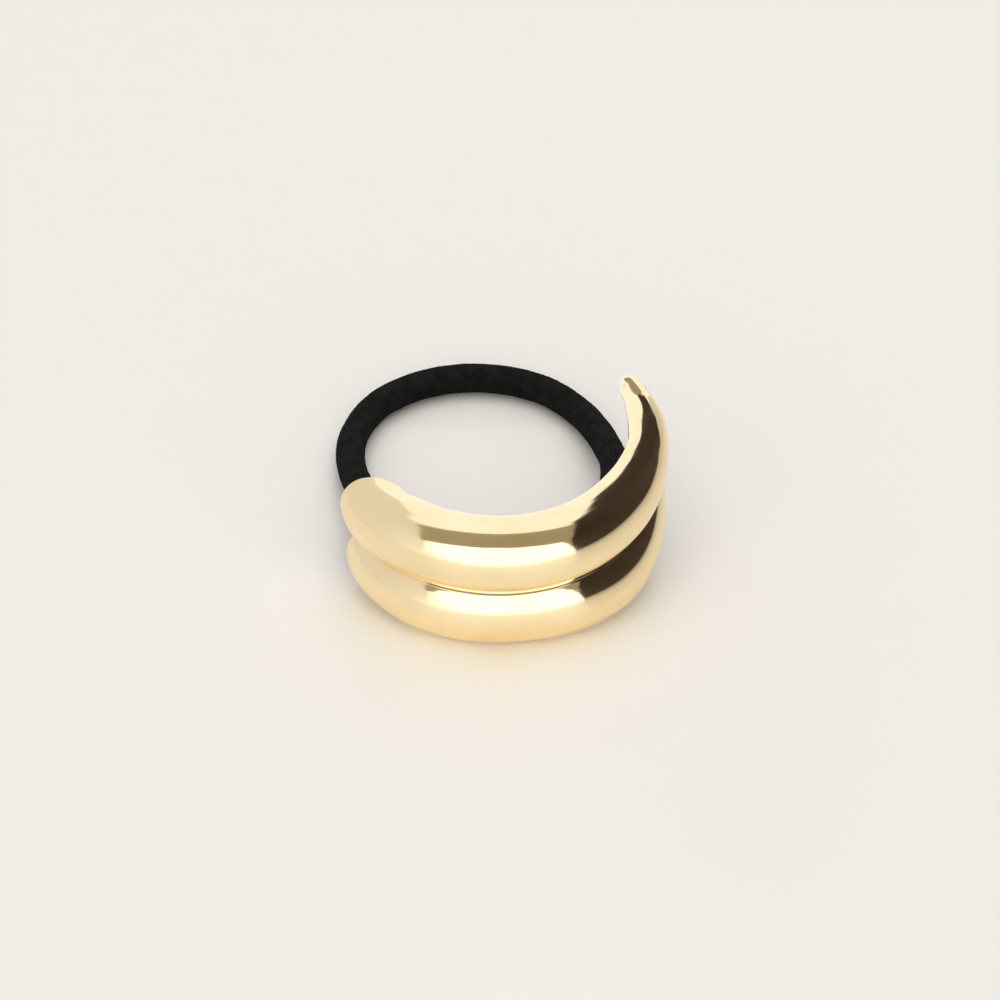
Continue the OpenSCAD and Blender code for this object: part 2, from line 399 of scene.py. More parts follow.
        outside = [
            self.on_rib(upper, upper[2] - trim, a)
            for a in gathered(upper_lip, upper_out + fillet, self.rib_steps)
        ]
        outside += [
            self.on_rib(lower, lower[2] - trim, a) for a in lower_turns(lower_out - fillet)
        ]
        hollow_trim = self.wall - trim
        hollow = [
            self.on_rib(upper, upper[2] - hollow_trim, a)
            for a in gathered(upper_lip, upper_out, self.rib_steps)
        ]
        hollow += [self.on_rib(lower, lower[2] - hollow_trim, a) for a in lower_turns(lower_out)]
        behind = [
            self.on_rib(upper, upper[2], a)
            for a in steps(upper_lip, upper_back - fillet, self.rib_steps)
        ]
        behind += [
            self.on_rib(lower, lower[2], a)
            for a in steps(lower_back + fillet, lower_lip, self.rib_steps)
        ]
        inside = []
        for i, (a, b) in enumerate(zip(hollow, behind)):
            share = upper_closing if i <= self.rib_steps else lower_closing
            inside.append((mix(a[0], b[0], share), mix(a[1], b[1], share)))
        loop = outside + self.rounded_lip(outside, inside, -1)
        loop += inside[::-1]
        loop += self.rounded_lip(inside, outside, 0)
        return [(mix(upper[0], x, tip), mix(upper[1], z, tip)) for x, z in loop]

    def rounded_lip(self, start: list[Flat], end: list[Flat], i: int) -> list[Flat]:
        """Rounds a lip of the hollow over from one face of the wall to the other.

        Args:
            start: the face that the rounding leaves.
            end: the face that it arrives at.
            i: which corner of both faces is at the lip, 0 or -1.

        Returns:
            The corners between the two faces, on a half ellipse that stands past them.
        """
        a, b = Vector(start[i]), Vector(end[i])
        inner = 1 if i == 0 else -2
        way = (a - Vector(start[inner])).normalized()
        middle, half = (a + b) / 2, (a - b) / 2
        made = []
        for k in range(1, self.lip_steps):
            turn = math.pi * k / self.lip_steps
            bulge = half.length * math.sin(turn) * self.lip_bulge
            point = middle + half * math.cos(turn) + way * bulge
            made.append((point.x, point.y))
        return made

    def sections(self) -> list[tuple[float, float, float]]:
        """Returns (angle, trim, tip) of each section, from the blunt end to the tip."""
        edge_angle = math.degrees(self.end_edge / self.cuff_radius)
        tip_from = self.horn_end_angle - self.tip_rounding_angle
        made = []
        for i in range(self.edge_steps):
            turn = math.radians(90 * i / self.edge_steps)
            angle = -self.blunt_end_angle + edge_angle * (1 - math.cos(turn))
            made.append((angle, self.end_edge * (1 - math.sin(turn)), 1.0))
        body = round((tip_from + self.blunt_end_angle) / self.angle_step)
        made += [(a, 0.0, 1.0) for a in steps(-self.blunt_end_angle + edge_angle, tip_from, body)]
        for i in range(1, self.tip_steps + 1):
            turn = math.acos(self.tip_flat_share) * i / self.tip_steps
            made.append((tip_from + self.tip_rounding_angle * math.sin(turn), 0.0, math.cos(turn)))
        return made

    def placed(self, point: Flat, angle: float) -> Point:
        """Places a section's corner round the axis, moved round by the blunt end's skew.

        Args:
            point: the corner, as distance from the axis and height.
            angle: the section's angle round the cuff.

        Returns:
            The corner's place.
        """
        share = 1 - smooth(angle, -self.blunt_end_angle, -self.skew_to)
        across = (self.cuff_radius - point[0]) / (2 * self.rib_radius)
        turned = math.radians(angle + self.blunt_end_skew * share * across**2)
        rise = smooth(angle, -self.blunt_end_angle, -self.fill_at)
        fill = mix(-self.end_tuck, self.inner_fill, rise)
        fill *= 1 - smooth(angle, -self.fill_at, -self.skew_to)
        out = point[0] - fill * across**2
        return (out * math.sin(turned), -out * math.cos(turned), point[1])

    def crease_shade(self, angle: float, corner: int) -> float:
        """Gives how much painted shade darkens a section's corner, most in the crease's floor.

        Args:
            angle: the section's angle round the cuff.
            corner: the corner's number in the section.

        Returns:
            The painted shade's share, 0 to 1.
        """
        place = corner - self.rib_steps
        if not 0 <= place < len(self.crease_shade_line):
            return 0.0
        along = smooth(angle, *self.crease_shade_starts) * (1 - smooth(angle, *self.crease_shade_ends))
        return self.crease_shade_line[place] * along

    def build(self) -> bpy.types.Object:
        """Builds the casting as one closed mesh.

        Returns:
            The casting's object.
        """
        places = self.sections()
        loops = [self.section(*place) for place in places]
        count = len(loops[0])
        points = [
            self.placed(p, place[0]) for place, loop in zip(places, loops) for p in loop
        ]
        faces = []
        for i in range(len(loops) - 1):
            for j in range(count):
                a, b = i * count + j, i * count + (j + 1) % count
                faces.append((a, b, b + count, a + count))
        wall_corners = 2 * self.rib_steps + 2
        lip_corners = self.lip_steps - 1
        ring = list(range(count))
        ends = self.end_faces(ring, wall_corners, lip_corners)
        last = (len(loops) - 1) * count
        faces += [tuple(reversed(face)) for face in ends]
        faces += [tuple(last + k for k in face) for face in ends]
        made = new_mesh("cuff_casting", points, faces)
        # Painted shade along the crease, stored on the corners for the gold's colour.
        crease_shade = [self.crease_shade(place[0], corner) for place in places for corner in range(count)]
        made.data.attributes.new("crease_shade", "FLOAT", "POINT").data.foreach_set("value", crease_shade)
        made.data.set_sharp_from_angle(angle=math.radians(self.crease_angle))
        return made

    @staticmethod
    def end_faces(ring: list[int], wall: int, lip: int) -> list[tuple[int, ...]]:
        """Closes the flat end of the wall between its outside and its inside.

        Args:
            ring: the corner numbers of the end's section, in order.
            wall: how many corners each face of the wall has.
            lip: how many corners each rounded lip has.

        Returns:
            The faces of the end that looks back along the cuff.
        """
        outside = ring[:wall]
        far_lip = ring[wall : wall + lip]
        inside = ring[wall + lip : 2 * wall + lip][::-1]
        near_lip = ring[2 * wall + lip :]
        faces = [
            (outside[j], outside[j + 1], inside[j + 1], inside[j]) for j in range(wall - 1)
        ]
        faces.append((outside[-1], *far_lip, inside[-1]))
        faces.append((inside[0], *near_lip, outside[0]))
        return faces


@dataclass
class KeeperBars:
    """The two thin bars brazed across the hollow's mouth, with a flare of braze at each end."""

    casting: CuffCasting
    diameter: float = 1.2
    angles: tuple[float, float] = (-64.0, 66.0)
    seat: float = 0.2
    sides: int = 20
    rings: int = 24
    flare: float = 0.28
    flare_length: float = 0.7
    flare_steepness: float = 2.2
    dome: float = 0.5
    tip_share: float = 0.15

    def ends(self, angle: float) -> tuple[Vector, Vector]:
        """Finds the middles of the two lips that a bar joins.

        Args:
            angle: the bar's angle round the cuff.

        Returns:
            The lower and the upper end, in millimetres.
        """
        cast = self.casting
        upper, lower = cast.upper(angle), cast.lower(angle)
        upper_out, upper_back, lower_out, lower_back = cast.crossings(upper, lower)
        half_wall = cast.wall / 2
        top = cast.on_rib(upper, upper[2] - half_wall, mix(upper_out, upper_back, cast.upper_lip))
        share = cast.lower_lip_front
        bottom = cast.on_rib(lower, lower[2] - half_wall, mix(lower_out, lower_back, share))
        return (
            Vector(cast.placed((bottom[0] + self.seat, bottom[1]), angle)),
            Vector(cast.placed((top[0] + self.seat, top[1]), angle)),
        )

    def build(self) -> bpy.types.Object:
        """Builds both bars as one mesh of two closed rods.

        Returns:
            The bars' object.
        """
        points: list[Point] = []
        faces: list[Sequence[int]] = []
        for angle in self.angles:
            low, high = self.ends(angle)
            add_rod(points, faces, low, high, self.rings, self.sides, self.radius_at)
        return new_mesh("keeper_bars", points, faces)

    def radius_at(self, along: float, length: float) -> float:
        """Gives a bar's radius along it, larger where the braze flares and round at its ends.

        Args:
            along: the distance from the bar's lower end.
            length: the bar's length.

        Returns:
            The radius there, in millimetres.
        """
        near = min(along, length - along)
        fall = self.flare_steepness * near / self.flare_length
        radius = self.diameter / 2 + self.flare * math.exp(-(fall**2))
        left = 1 - min(1, near / self.dome)
        return radius * max(self.tip_share, math.sqrt(1 - left**2))


def add_rod(
    points: list[Point],
    faces: list[Sequence[int]],
    low: Vector,
    high: Vector,
    rings: int,
    sides: int,
    radius_at: Callable[[float, float], float],
) -> None:
    """Adds a closed straight rod to a mesh that is being made.

    Args:
        points: the mesh's corners so far, in millimetres.
        faces: the mesh's faces so far.
        low: where the rod starts.
        high: where it ends.
        rings: how many stretches it has.
        sides: how many sides it has.
        radius_at: gives the radius from the distance along the rod and its length.
    """
    first = len(points)
    way = (high - low).normalized()
    side = way.orthogonal().normalized()
    up = way.cross(side)
    length = (high - low).length
    for i in range(rings + 1):
        along = length * (1 - math.cos(math.pi * i / rings)) / 2
        radius = radius_at(along, length)
        for k in range(sides):
            turn = 2 * math.pi * k / sides
            point = low + way * along + radius * (side * math.cos(turn) + up * math.sin(turn))
            points.append(tuple(point))
    faces.extend(tube_faces(first, rings, sides))


class NodeMaker:
    """A small helper that adds nodes to a tree in plain steps."""

    def __init__(self, group: bpy.types.NodeTree) -> None:
        """Keeps the tree that the nodes go into."""
        self.group = group

    def add(self, kind: str, inputs: Optional[dict[Any, Any]] = None, **settings: Any) -> Any:
        """Adds a node, sets its options and feeds its inputs.

        Args:
            kind: the node's type.
            inputs: values or sockets for its inputs, by name or number.
            **settings: the node's own options.

        Returns:
            The node.
        """
        made = self.group.nodes.new(kind)
        for key, value in settings.items():
            setattr(made, key, value)
        for key, value in (inputs or {}).items():
            if isinstance(value, bpy.types.NodeSocket):
                self.link(value, made.inputs[key])
            else:
                made.inputs[key].default_value = value
        return made

    def link(self, start: Any, end: Any) -> None:
        """Links an output to an input."""
        self.group.links.new(start, end)

    def math(self, operation: str, a: Any, b: Any = 0.0) -> Any:
        """Returns the result of one sum on two numbers or sockets."""
        return self.add("ShaderNodeMath", {0: a, 1: b}, operation=operation).outputs[0]


class Tree(NodeMaker):
    """Builds one Geometry Nodes tree and runs it on an object."""

    def __init__(self, name: str) -> None:
        """Makes an empty tree with a geometry input and output.

        Args:
            name: the tree's name.
        """
        super().__init__(bpy.data.node_groups.new(name, "GeometryNodeTree"))
        face = self.group.interface
        face.new_socket("Geometry", in_out="INPUT", socket_type="NodeSocketGeometry")
        face.new_socket("Geometry", in_out="OUTPUT", socket_type="NodeSocketGeometry")
        self.start = self.group.nodes.new("NodeGroupInput")
        self.identifiers: dict[str, str] = {}

    def size(self, name: str, kind: str = "NodeSocketFloat") -> Any:
        """Adds a named input to the tree.

        Args:
            name: the input's name.
            kind: the socket type.

        Returns:
            The input's socket inside the tree.
        """
        made = self.group.interface.new_socket(name, in_out="INPUT", socket_type=kind)
        self.identifiers[name] = made.identifier
        return self.start.outputs[name]

    def vector(self, operation: str, a: Any, b: Any = (0.0, 0.0, 0.0)) -> Any:
        """Returns the result of one sum on two vectors or sockets."""
        return self.add("ShaderNodeVectorMath", {0: a, 1: b}, operation=operation).outputs[0]

    def scaled(self, vector: Any, share: Any) -> Any:
        """Returns a vector times a number."""
        inputs = {0: vector, "Scale": share}
        return self.add("ShaderNodeVectorMath", inputs, operation="SCALE").outputs[0]

    def finish(self, geometry: Any, material: bpy.types.Material) -> None:
        """Ends the tree in Realize Instances and Set Material.

        Args:
            geometry: the socket with what the tree has made.
            material: the finish that it gets.
        """
        real = self.add("GeometryNodeRealizeInstances", {"Geometry": geometry})
        dressed = self.add(
            "GeometryNodeSetMaterial", {"Geometry": real.outputs[0], "Material": material}
        )
        end = self.group.nodes.new("NodeGroupOutput")
        self.link(dressed.outputs[0], end.inputs[0])

    def applied(
        self, source: bpy.types.Object, name: str, sizes: dict[str, Any]
    ) -> bpy.types.Object:
        """Runs the tree on an object and keeps the result as a plain mesh.

        Args:
            source: the object that the tree starts from. It is removed.
            name: the new object's name.
            sizes: a value for each named input.

        Returns:
            The new object, with no modifier.
        """
        modifier = source.modifiers.new("shape", "NODES")
        modifier.node_group = self.group
        for key, value in sizes.items():
            modifier[self.identifiers[key]] = value
        graph = bpy.context.evaluated_depsgraph_get()
        mesh = bpy.data.meshes.new_from_object(source.evaluated_get(graph), depsgraph=graph)
        mesh.name = name
        made = bpy.data.objects.new(name, mesh)
        bpy.context.scene.collection.objects.link(made)
        bpy.data.objects.remove(source)
        return made


class Lay(Enum):
    """The two directions in which the cover's yarns wind round the elastic."""

    RIGHT = 1
    LEFT = -1


CRIMP_LENGTH = 7.0
CRIMP_PLACE = (0.0, -18.5, 5.9)
LYING_HEIGHT = 2.3
ELASTIC_ROUTE: list[Point] = [
    (CRIMP_LENGTH / 2, CRIMP_PLACE[1], CRIMP_PLACE[2]),
    (8, -16.9, 5.9),
    (12.2, -14.2, 6),
    (15.9, -10.8, 6.3),
    (18, -7.2, 6.9),
    (18.5, -3.6, 7.8),
    (18.3, -0.7, 9.2),
    (17.6, 1.8, 10.2),
    (17.2, 4, 9.8),
    (17.1, 6.6, 8.8),
    (17.2, 9.6, 7.5),
    (17.2, 12.8, 6.4),
    (17.1, 16, 5.4),
    (16.5, 19.6, 4.5),
    (15.4, 24.3, 3.5),
    (14, 28.5, 2.7),
    (12.4, 31.8, LYING_HEIGHT),
    (8.7, 36.2, LYING_HEIGHT),
    (4.4, 39, LYING_HEIGHT),
    (-0.3, 40.4, LYING_HEIGHT),
    (-5.2, 40.6, LYING_HEIGHT),
    (-10, 39.4, LYING_HEIGHT),
    (-14.4, 36.9, LYING_HEIGHT),
    (-18.2, 33, LYING_HEIGHT),
    (-20.8, 27.2, LYING_HEIGHT),
    (-21.5, 22, 2.4),
    (-21.1, 16.8, 3),
    (-20.2, 12, 3.9),
    (-19.5, 7.5, 4.8),
    (-19, 2.6, 5.6),
    (-18.4, -2.4, 5.9),
    (-17.3, -7.1, 5.9),
    (-14.6, -11.7, 5.9),
    (-11.2, -15, 5.9),
    (-7.4, -17.2, 5.9),
    (-CRIMP_LENGTH / 2, CRIMP_PLACE[1], CRIMP_PLACE[2]),
]


@dataclass
class CoveredElastic:
    """The elastic cord: a dark core, a braided cover of fine yarns and a little fuzz."""

    diameter: float = 4.4
    core_diameter: float = 3.9
    core_sides: int = 20
    steps_between_points: int = 5
    yarn_width: float = 0.54
    yarn_height: float = 0.1
    weave_lift: float = 0.02
    wobble: float = 0.05
    wobble_length: float = 1.5
    waviness: float = 0.2
    wave_length: float = 2.4
    yarns: int = 20
    turns: float = 13.0
    steps_per_yarn: int = 900
    yarn_sides: int = 4
    yarn_shift: float = 7.3
    wobble_detail: float = 1.0
    wave_detail: float = 3.0
    tone_seed: int = 5
    fuzz_count: int = 9400
    fuzz_length: float = 0.46
    fuzz_radius: float = 0.018
    fuzz_sides: int = 3
    fuzz_steps: int = 4
    fuzz_depth: float = 0.25
    fuzz_smallest: float = 0.35
    fuzz_tilt: float = 0.5
    fuzz_curl: tuple[Point, ...] = ((0, 0, -0.2), (0, 0, 0.4), (0.3, 0, 0.6), (0.75, 0.1, 0.45))
    fuzz_seed: int = 7

    def centreline(self) -> list[Vector]:
        """Returns the cord's middle line, a smooth curve through the route's points."""
        points = [Vector(p) for p in ELASTIC_ROUTE]
        last = len(points) - 1
        made = []
        for i in range(last):
            before, start = points[max(0, i - 1)], points[i]
            end, after = points[i + 1], points[min(last, i + 2)]
            for k in range(self.steps_between_points):
                t = k / self.steps_between_points
                first = (end - before) * t
                second = (2 * before - 5 * start + 4 * end - after) * t**2
                third = (3 * start - before - 3 * end + after) * t**3
                made.append(0.5 * (2 * start + first + second + third))
        return made + [points[last]]

    def line_object(self, name: str) -> bpy.types.Object:
        """Makes the middle line as a curve object, for the trees to follow.

        Args:
            name: the object's name.

        Returns:
            The curve's object.
        """
        line = self.centreline()
        curve = bpy.data.curves.new(name, "CURVE")
        curve.dimensions = "3D"
        spline = curve.splines.new("POLY")
        spline.points.add(len(line) - 1)
        for point, place in zip(spline.points, line):
            point.co = (place.x * MM, place.y * MM, place.z * MM, 1)
        made = bpy.data.objects.new(name, curve)
        bpy.context.scene.collection.objects.link(made)
        return made

    def core(self, name: str, diameter: float) -> bpy.types.Object:
        """Builds a plain closed tube along the middle line.

        Args:
            name: the object's name.
            diameter: the tube's diameter, in millimetres.

        Returns:
            The tube's object.
        """
        line = self.centreline()
        last = len(line) - 1
        ways = [
            (line[min(last, i + 1)] - line[max(0, i - 1)]).normalized() for i in range(last + 1)
        ]
        ways[0] = ways[last] = Vector((1, 0, 0))
        side = ways[0].cross(Vector((0, 0, 1))).normalized()
        points: list[Point] = []
        for place, way in zip(line, ways):
            side = (side - way * side.dot(way)).normalized()
            up = side.cross(way)
            for k in range(self.core_sides):
                turn = 2 * math.pi * k / self.core_sides
                out = side * math.cos(turn) + up * math.sin(turn)
                points.append(tuple(place + out * diameter / 2))
        return new_mesh(name, points, tube_faces(0, last, self.core_sides, turned=True))

    def braid(self, lay: Lay, material: bpy.types.Material) -> bpy.types.Object:
        """Winds one direction of the cover's yarns round the middle line.

        Args:
            lay: which way these yarns wind.
            material: the yarns' finish.

        Returns:
            The yarns as one mesh.
        """
        tree = Tree("braid_" + lay.name.lower())
        yarns = tree.size("Yarns", "NodeSocketInt")
        turns = tree.size("Turns")
        side = tree.size("Side")
        radius = tree.size("Radius")
        lift = tree.size("Lift")
        width = tree.size("Yarn width")
        height = tree.size("Yarn height")
        wobble = tree.size("Wobble")
        wobble_length = tree.size("Wobble length")
        waviness = tree.size("Waviness")
        wave_length = tree.size("Wave length")
        count = tree.size("Steps", "NodeSocketInt")
        line = tree.add(
            "GeometryNodeResampleCurve", {"Curve": tree.start.outputs[0], "Count": count}
        )
        copies = tree.add(
            "GeometryNodeDuplicateElements",
            {"Geometry": line.outputs[0], "Amount": yarns},
            domain="SPLINE",
        )
        index = copies.outputs["Duplicate Index"]
        along = tree.add("GeometryNodeSplineParameter").outputs["Factor"]
        wound = tree.math("MULTIPLY", turns, along)
        start = tree.math("DIVIDE", index, yarns)
        place = tree.add("GeometryNodeInputPosition").outputs[0]
        sway = tree.add(
            "ShaderNodeTexNoise",
            {
                "Vector": place,
                "W": tree.math("MULTIPLY", index, self.yarn_shift),
                "Scale": tree.math("DIVIDE", 1.0, wobble_length),
                "Detail": self.wobble_detail,
            },
            noise_dimensions="4D",
        )
        swayed = tree.math("MULTIPLY", tree.math("SUBTRACT", sway.outputs[0], 0.5), wobble)
        wound_share = tree.math("ADD", start, tree.math("MULTIPLY", wound, side))
        share = tree.math("ADD", wound_share, swayed)
        turn = tree.math("MULTIPLY", share, 2 * math.pi)
        normal = tree.add("GeometryNodeInputNormal").outputs[0]
        way = tree.add("GeometryNodeInputTangent").outputs[0]
        across = tree.vector("CROSS_PRODUCT", way, normal)
        radial = tree.vector(
            "ADD",
            tree.scaled(normal, tree.math("COSINE", turn)),
            tree.scaled(across, tree.math("SINE", turn)),
        )
        crossing = tree.math("MULTIPLY", tree.math("MULTIPLY", wound, yarns), 2 * math.pi)
        over = tree.math("MULTIPLY", tree.math("COSINE", crossing), side)
        level = tree.math("ADD", radius, tree.math("MULTIPLY", over, lift))
        spot = tree.vector("ADD", place, tree.scaled(radial, radius))
        waves = tree.add(
            "ShaderNodeTexNoise",
            {
                "Vector": spot,
                "Scale": tree.math("DIVIDE", 1.0, wave_length),
                "Detail": self.wave_detail,
            },
        )
        dip = tree.math("MULTIPLY", waves.outputs[0], waviness)
        out = tree.math("SUBTRACT", level, dip)
        kept = tree.add("GeometryNodeCaptureAttribute", {"Geometry": copies.outputs[0]})
        kept.capture_items.new("VECTOR", "radial")
        tree.link(radial, kept.inputs["radial"])
        moved = tree.add(
            "GeometryNodeSetPosition",
            {"Geometry": kept.outputs[0], "Offset": tree.scaled(radial, out)},
        )
        faced = tree.add(
            "GeometryNodeSetCurveNormal",
            {"Curve": moved.outputs[0], "Normal": kept.outputs["radial"]},
            mode="FREE",
        )
        tone = tree.add(
            "FunctionNodeRandomValue",
            {2: 0.0, 3: 1.0, "ID": index, "Seed": lay.value + self.tone_seed},
            data_type="FLOAT",
        )
        toned = tree.add(
            "GeometryNodeStoreNamedAttribute",
            {"Geometry": faced.outputs[0], "Name": "yarn", "Value": tone.outputs[1]},
            data_type="FLOAT",
            domain="CURVE",
        )
        ring = tree.add(
            "GeometryNodeCurvePrimitiveCircle", {"Resolution": self.yarn_sides, "Radius": 0.5}
        )
        squeeze = tree.add("ShaderNodeCombineXYZ", {0: height, 1: width, 2: 1.0})
        profile = tree.add(
            "GeometryNodeTransform",
            {"Geometry": ring.outputs[0], "Scale": squeeze.outputs[0]},
        )
        mesh = tree.add(
            "GeometryNodeCurveToMesh",
            {"Curve": toned.outputs[0], "Profile Curve": profile.outputs[0], "Fill Caps": True},
        )
        tree.finish(mesh.outputs[0], material)
        outside = (self.diameter - self.yarn_height + self.waviness / 2) / 2
        return tree.applied(
            self.line_object("braid_line"),
            "elastic_yarns_" + lay.name.lower(),
            {
                "Yarns": self.yarns,
                "Turns": self.turns,
                "Side": float(lay.value),
                "Radius": (outside - self.weave_lift) * MM,
                "Lift": self.weave_lift * MM,
                "Yarn width": self.yarn_width * MM,
                "Yarn height": self.yarn_height * MM,
                "Wobble": self.wobble,
                "Wobble length": self.wobble_length * MM,
                "Waviness": self.waviness * MM,
                "Wave length": self.wave_length * MM,
                "Steps": self.steps_per_yarn,
            },
        )

    def fuzz(self, material: bpy.types.Material) -> bpy.types.Object:
        """Scatters short loose fibres over the cover.

        Args:
            material: the fibres' finish.

        Returns:
            The fibres as one mesh.
        """
        tree = Tree("fuzz")
        density = tree.size("Density")
        length = tree.size("Fibre length")
        radius = tree.size("Fibre radius")
        seed = tree.size("Seed", "NodeSocketInt")
        scatter = tree.add(
            "GeometryNodeDistributePointsOnFaces",
            {"Mesh": tree.start.outputs[0], "Density": density, "Seed": seed},
            distribute_method="RANDOM",
        )
        curl = dict(zip(("Start", "Start Handle", "End Handle", "End"), self.fuzz_curl))
        fibre = tree.add(
            "GeometryNodeCurvePrimitiveBezierSegment",
            {"Resolution": self.fuzz_steps, **curl},
            mode="POSITION",
        )
        scale = tree.add("ShaderNodeCombineXYZ", {0: length, 1: length, 2: length})
        sized = tree.add(
            "GeometryNodeTransform", {"Geometry": fibre.outputs[0], "Scale": scale.outputs[0]}
        )
        ring = tree.add(
            "GeometryNodeCurvePrimitiveCircle", {"Resolution": self.fuzz_sides, "Radius": radius}
        )
        thread = tree.add(
            "GeometryNodeCurveToMesh",
            {"Curve": sized.outputs[0], "Profile Curve": ring.outputs[0], "Fill Caps": True},
        )
        tilt = self.fuzz_tilt
        spin = tree.add(
            "FunctionNodeRandomValue",
            {0: (-tilt, -tilt, -math.pi), 1: (tilt, tilt, math.pi), "Seed": seed},
            data_type="FLOAT_VECTOR",
        )
        turned = tree.add(
            "FunctionNodeRotateEuler",
            {"Rotation": scatter.outputs["Rotation"], "Rotate By": spin.outputs[0]},
            space="LOCAL",
        )
        size = tree.add(
            "FunctionNodeRandomValue",
            {2: self.fuzz_smallest, 3: 1.0, "Seed": seed},
            data_type="FLOAT",
        )
        placed = tree.add(
            "GeometryNodeInstanceOnPoints",
            {
                "Points": scatter.outputs[0],
                "Instance": thread.outputs[0],
                "Rotation": turned.outputs[0],
                "Scale": size.outputs[1],
            },
        )
        tree.finish(placed.outputs[0], material)
        ground = self.core("fuzz_ground", self.diameter - 2 * self.fuzz_depth)
        area = sum(face.area for face in ground.data.polygons)
        return tree.applied(
            ground,
            "elastic_fuzz",
            {
                "Density": self.fuzz_count / area,
                "Fibre length": self.fuzz_length * MM,
                "Fibre radius": self.fuzz_radius * MM,
                "Seed": self.fuzz_seed,
            },
        )


@dataclass
class ElasticCrimp:
    """The metal crimp that joins the ends of the elastic, with its rims rolled and pinched."""

    length: float = CRIMP_LENGTH
    diameter: float = 5.0
    rim: float = 0.35
    pinch: float = 0.22
    pinch_place: float = 0.28
    pinch_width: float = 0.55
    pinches: int = 4
    sides: int = 48
    rings: int = 60

    def build(self) -> bpy.types.Object:
        """Builds the crimp as one closed mesh along X.

        Returns:
            The crimp's object.
        """
        points: list[Point] = []
        for i in range(self.rings + 1):
            along = self.length * (1 - math.cos(math.pi * i / self.rings)) / 2
            for k in range(self.sides):
                turn = 2 * math.pi * k / self.sides
                radius = self.radius_at(along, turn)
                x = CRIMP_PLACE[0] - self.length / 2 + along
                y = CRIMP_PLACE[1] + radius * math.cos(turn)
                points.append((x, y, CRIMP_PLACE[2] + radius * math.sin(turn)))
        return new_mesh("crimp", points, tube_faces(0, self.rings, self.sides))

    def radius_at(self, along: float, turn: float) -> float:
        """Gives the crimp's radius, smaller at its rims and in its pinched dents.

        Args:
            along: distance from one end, in millimetres.
            turn: the angle round the crimp, in radians.

        Returns:
            The radius there, in millimetres.
        """
        near = min(along, self.length - along)
        rim = self.rim * (1 - math.sqrt(max(0.0, 1 - (1 - min(1.0, near / self.rim)) ** 2)))
        row = math.exp(-(((near - self.length * self.pinch_place) / self.pinch_width) ** 2))
        dent = self.pinch * row * max(0.0, math.cos(turn * self.pinches)) ** 2
        return self.diameter / 2 - rim - dent


class Paint(NodeMaker):
    """Adds the patterns that the finishes are made of to a material's tree."""

    def object_point(self, stretch: Point, turn: Point = (0.0, 0.0, 0.0)) -> Any:
        """Returns Object coordinates stretched and turned for a pattern.

        Args:
            stretch: how often the pattern repeats along each axis.
            turn: the pattern's turn, in radians.

        Returns:
            The coordinates' socket.
        """
        place = self.add("ShaderNodeTexCoord").outputs["Object"]
        inputs = {"Vector": place, "Scale": stretch, "Rotation": turn}
        return self.add("ShaderNodeMapping", inputs).outputs[0]

    def noise(self, place: Any, scale: float, detail: float) -> Any:
        """Returns a noise pattern's value, 0 to 1."""
        inputs = {"Vector": place, "Scale": scale, "Detail": detail}
        return self.add("ShaderNodeTexNoise", inputs).outputs[0]

    def ranged(self, value: Any, span: Flat, result: Flat) -> Any:
        """Returns a value mapped from one range to another, held inside it."""
        inputs = {0: value, 1: span[0], 2: span[1], 3: result[0], 4: result[1]}
        return self.add("ShaderNodeMapRange", inputs).outputs[0]

    def blended(self, share: Any, a: Any, b: Any) -> Any:
        """Returns a colour between two, which are colours or sockets, by a share."""
        node = self.add("ShaderNodeMix", data_type="RGBA")
        self.link(share, node.inputs["Factor"])
        for name, colour in (("A", a), ("B", b)):
            if isinstance(colour, bpy.types.NodeSocket):
                self.link(colour, node.inputs[name])
            else:
                node.inputs[name].default_value = (*colour, 1)
        return node.outputs["Result"]

    def bump(self, height: Any, distance: float, normal: Any = None) -> Any:
        """Returns a normal bent by a height pattern.

        Args:
            height: the pattern's value.
            distance: the height of a value of 1, in metres.
            normal: a normal to bend further, if any.

        Returns:
            The bent normal's socket.
        """
        inputs = {"Height": height, "Strength": 1.0, "Distance": distance}
        if normal is not None:
            inputs["Normal"] = normal
        return self.add("ShaderNodeBump", inputs).outputs[0]


def new_material(name: str) -> tuple[bpy.types.Material, Paint, Any]:
    """Makes a material with its main shader.

    Args:
        name: the material's name.

    Returns:
        The material, the helper that paints it and its Principled shader.
    """
    made = bpy.data.materials.new(name)
    made.use_nodes = True
    return made, Paint(made.node_tree), made.node_tree.nodes["Principled BSDF"]


def new_glow(name: str, colour: Colour) -> tuple[bpy.types.Material, Paint, Any]:
    """Makes a material that only gives off light.

    Args:
        name: the material's name.
        colour: the light's colour.

    Returns:
        The material, the helper that paints it and its light's strength socket.
    """
    made = bpy.data.materials.new(name)
    made.use_nodes = True
    made.node_tree.nodes.clear()
    paint = Paint(made.node_tree)
    light = paint.add("ShaderNodeEmission", {"Color": (*colour, 1)})
    end = paint.add("ShaderNodeOutputMaterial")
    paint.link(light.outputs[0], end.inputs["Surface"])
    return made, paint, light.inputs["Strength"]


